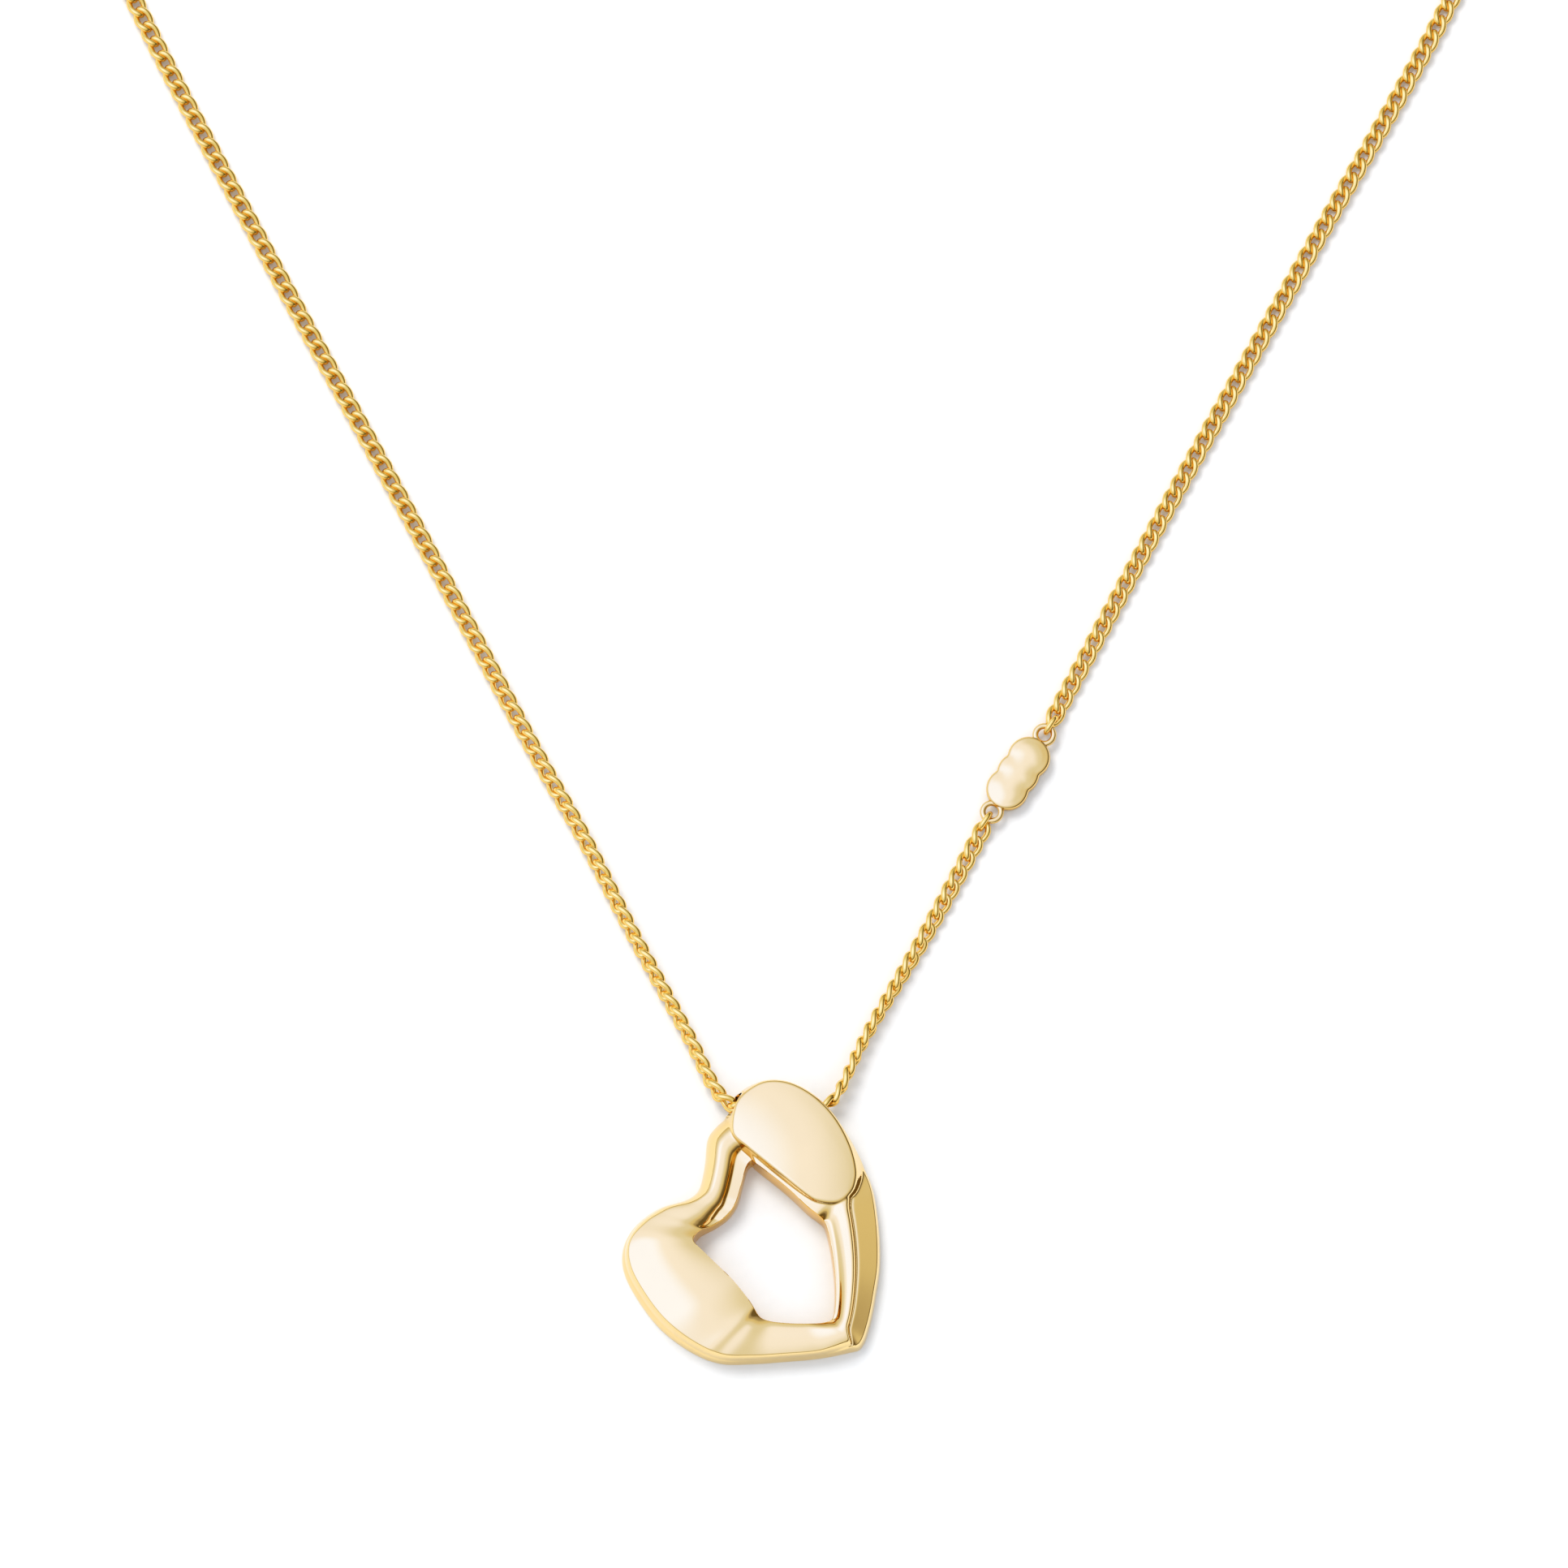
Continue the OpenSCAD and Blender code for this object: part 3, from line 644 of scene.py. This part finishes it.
def makeCharm():
    c = charmSettings
    bm = bmesh.new()
    bmesh.ops.create_circle(bm, cap_ends=True, segments=c["segments"], radius=1)
    for v in bm.verts:
        angle = math.atan2(v.co.y, v.co.x)
        v.co = charmReach(angle) * Vector((math.cos(angle), math.sin(angle), 0))
    for _ in range(2):
        bmesh.ops.smooth_vert(bm, verts=bm.verts[:], factor=0.5, use_axis_x=True,
                              use_axis_y=True, use_axis_z=True)
    base = bm.faces[:]
    raised = bmesh.ops.extrude_face_region(bm, geom=base, use_keep_orig=True)["geom"]
    side = c["thick"] - c["crown"]  # height of the charm's side
    bmesh.ops.translate(bm, verts=[g for g in raised if isinstance(g, bmesh.types.BMVert)],
                        vec=(0, 0, side))
    bmesh.ops.recalc_face_normals(bm, faces=bm.faces[:])
    for level, width, steps in ((side, c["edge"], 4), (0, c["underEdge"], 2)):
        rim = [e for e in bm.edges if all(abs(v.co.z - level) < 1e-7 for v in e.verts)]
        bmesh.ops.bevel(bm, geom=rim, offset=width, offset_type="OFFSET", segments=steps,
                        profile=0.5, affect="EDGES", material=-1)
    face = [f for f in bm.faces if all(v.co.z > side - 1e-7 for v in f.verts)]
    for width, rise in c["rings"]:
        bmesh.ops.inset_region(bm, faces=face, thickness=width * mm, depth=rise * c["crown"],
                               use_even_offset=True)
    for end in (-1, 1):
        start = len(bm.verts)
        bmesh.ops.create_circle(bm, segments=12, radius=c["loopWire"] / 2)
        bm.verts.ensure_lookup_table()
        wire = bm.verts[start:]
        bmesh.ops.rotate(bm, verts=wire, cent=(0, 0, 0),
                         matrix=Matrix.Rotation(math.radians(90), 3, "X"))
        centre = (end * c["loopPlace"], 0, c["thick"] / 2)
        bmesh.ops.translate(bm, verts=wire, vec=(centre[0] + c["loopRadius"], 0, centre[2]))
        edges = [e for e in bm.edges if e.is_wire]
        bmesh.ops.spin(bm, geom=edges, cent=centre, axis=(0, 0, 1), angle=math.radians(360),
                       steps=36, use_merge=True)
    low, high = (Vector(p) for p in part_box("charm_plate"))
    middle = (low + high) / 2 - Vector((0, 0, c["thick"] / 2))
    bmesh.ops.transform(bm, verts=bm.verts[:], matrix=Matrix.Translation(middle)
                        @ Matrix.Rotation(c["turn"], 4, "Z"))
    piece = meshPiece("lobedCharm", bm, "charm")
    piece.data.set_sharp_from_angle(angle=c["sharp"])
    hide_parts("charm_plate")
    giveMaterial(piece, plateGold)
    print("charm ready")


makeCharm()


claspSettings = {
    "edge": 0.09 * mm,  # rounding of the cast edges
    "segments": 3,
    "sharp": math.radians(35),  # edges that turn more than this are rounded
}


def castPiece(name, nodeName, body):
    # the node's own shape with its edges tumbled round
    c = claspSettings
    bm = bmesh.new()
    bm.from_mesh(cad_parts[nodeName].data)
    bmesh.ops.remove_doubles(bm, verts=bm.verts[:], dist=1e-6)
    bmesh.ops.dissolve_limit(bm, angle_limit=math.radians(1), verts=bm.verts[:],
                             edges=bm.edges[:])
    corners = [e for e in bm.edges
               if len(e.link_faces) == 2 and e.calc_face_angle() > c["sharp"]]
    bmesh.ops.bevel(bm, geom=corners, offset=c["edge"], offset_type="OFFSET",
                    segments=c["segments"], profile=0.5, affect="EDGES", material=-1)
    piece = meshPiece(name, bm, body)
    piece.data.set_sharp_from_angle(angle=c["sharp"])
    flats = piece.modifiers.new("flats", "WEIGHTED_NORMAL")
    flats.keep_sharp = True
    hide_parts(nodeName)
    giveMaterial(piece, plateGold)


castPiece("claspBody", "clasp_body", "clasp")
castPiece("claspLever", "clasp_lever", "clasp_lever")
print("clasp ready")

# the rings, links and small parts of the clasp keep their own shapes
for name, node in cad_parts.items():
    giveMaterial(node, steel if name == "clasp_spring" else chainGold)
print("carried nodes ready")


lightSettings = {
    "brightest": (-0.45, 0.05, 0.85),
    # cosine from the brightest direction, then linear colour
    "tent": [
        (0.0, (0.15, 0.11, 0.05)),
        (0.25, (0.42, 0.36, 0.25)),
        (0.45, (0.74, 0.69, 0.50)),
        (0.68, (0.80, 0.85, 0.97)),
        (0.87, (1.01, 1.14, 1.85)),
        (0.97, (1.07, 1.34, 2.70)),
    ],
    "tentStrength": 1.0,
    "fill": (0.83, 0.87, 0.92),  # the tent as the paper and the shadows get it
    "keyPlace": (-0.35, 0.55, 0.9),
    "keyAim": (0, 0.02, 0),
    "keySize": 0.5,
    "keyPower": 6.5,
    "keyColour": (1.0, 0.965, 0.91),
}
tableSettings = {
    "size": 3,  # half its side, in metres
    "darker": "F2F2F3",  # the paper's two tones
    "lighter": "F7F7F8",
    "grainScale": 900.0,  # paper grain about 1 mm apart
    "roughness": 0.9,
    "specular": 0.1,
}


def makeFloor():
    # matt white paper
    s = tableSettings
    bm = bmesh.new()
    bmesh.ops.create_grid(bm, x_segments=1, y_segments=1, size=s["size"])
    mesh = bpy.data.meshes.new("tableTop")
    bm.to_mesh(mesh)
    bm.free()
    floor = bpy.data.objects.new("tableTop", mesh)
    scene.collection.objects.link(floor)
    material = bpy.data.materials.new("whitePaper")
    material.use_nodes = True
    tree = material.node_tree
    shader = tree.nodes["Principled BSDF"]
    shader.inputs["Roughness"].default_value = s["roughness"]
    shader.inputs["Specular IOR Level"].default_value = s["specular"]
    where = addNode(tree, "ShaderNodeTexCoord")
    grain = addNode(tree, "ShaderNodeTexNoise", inputs={"Scale": s["grainScale"]},
                    links={"Vector": (where, "Object")})
    tone = addNode(tree, "ShaderNodeMix", {"data_type": "RGBA"},
                   links={"Factor": (grain, "Fac")})
    tone.inputs["A"].default_value = linearColour(s["darker"])
    tone.inputs["B"].default_value = linearColour(s["lighter"])
    tree.links.new(tone.outputs["Result"], shader.inputs["Base Color"])
    giveMaterial(floor, material)


def makeKeyLight():
    # one large lamp, high on the left beyond the chain, for the soft shadows
    s = lightSettings
    data = bpy.data.lights.new("key", "AREA")
    data.shape = "RECTANGLE"
    data.size = data.size_y = s["keySize"]
    data.energy = s["keyPower"]
    data.color = s["keyColour"]
    light = bpy.data.objects.new("key", data)
    scene.collection.objects.link(light)
    light.location = s["keyPlace"]
    light.visible_glossy = False  # the tent alone shows in the metal
    direction = Vector(s["keyAim"]) - Vector(s["keyPlace"])
    light.rotation_euler = direction.to_track_quat("-Z", "Y").to_euler()


def makeWorld():
    # a white tent: brightest up and to the left, dimmer and warmer low on the right. Only the
    # metal's reflections see it; everything else gets the even fill
    world = bpy.data.worlds.new("studio")
    scene.world = world
    world.use_nodes = True
    tree = world.node_tree
    background = tree.nodes["Background"]
    where = addNode(tree, "ShaderNodeTexCoord")
    lean = addNode(tree, "ShaderNodeVectorMath", {"operation": "DOT_PRODUCT"},
                   links={0: (where, "Generated")})
    lean.inputs[1].default_value = Vector(lightSettings["brightest"]).normalized()
    ramp = addNode(tree, "ShaderNodeValToRGB", links={"Fac": (lean, "Value")})
    ramp.color_ramp.interpolation = "EASE"
    stops = ramp.color_ramp.elements
    for stop in stops[1:]:
        stops.remove(stop)
    for k, (place, colour) in enumerate(lightSettings["tent"]):
        stop = stops[0] if k == 0 else stops.new(place)
        stop.position = place
        stop.color = (*colour, 1)
    ray = addNode(tree, "ShaderNodeLightPath")
    seen = addNode(tree, "ShaderNodeMix", {"data_type": "RGBA"},
                   links={"Factor": (ray, "Is Glossy Ray"), "B": (ramp, "Color")})
    seen.inputs["A"].default_value = (*lightSettings["fill"], 1)
    tree.links.new(seen.outputs["Result"], background.inputs["Color"])
    background.inputs["Strength"].default_value = lightSettings["tentStrength"]


makeFloor()
makeWorld()
makeKeyLight()
scene.view_settings.view_transform = "Standard"
scene.view_settings.look = "None"
print("light ready")
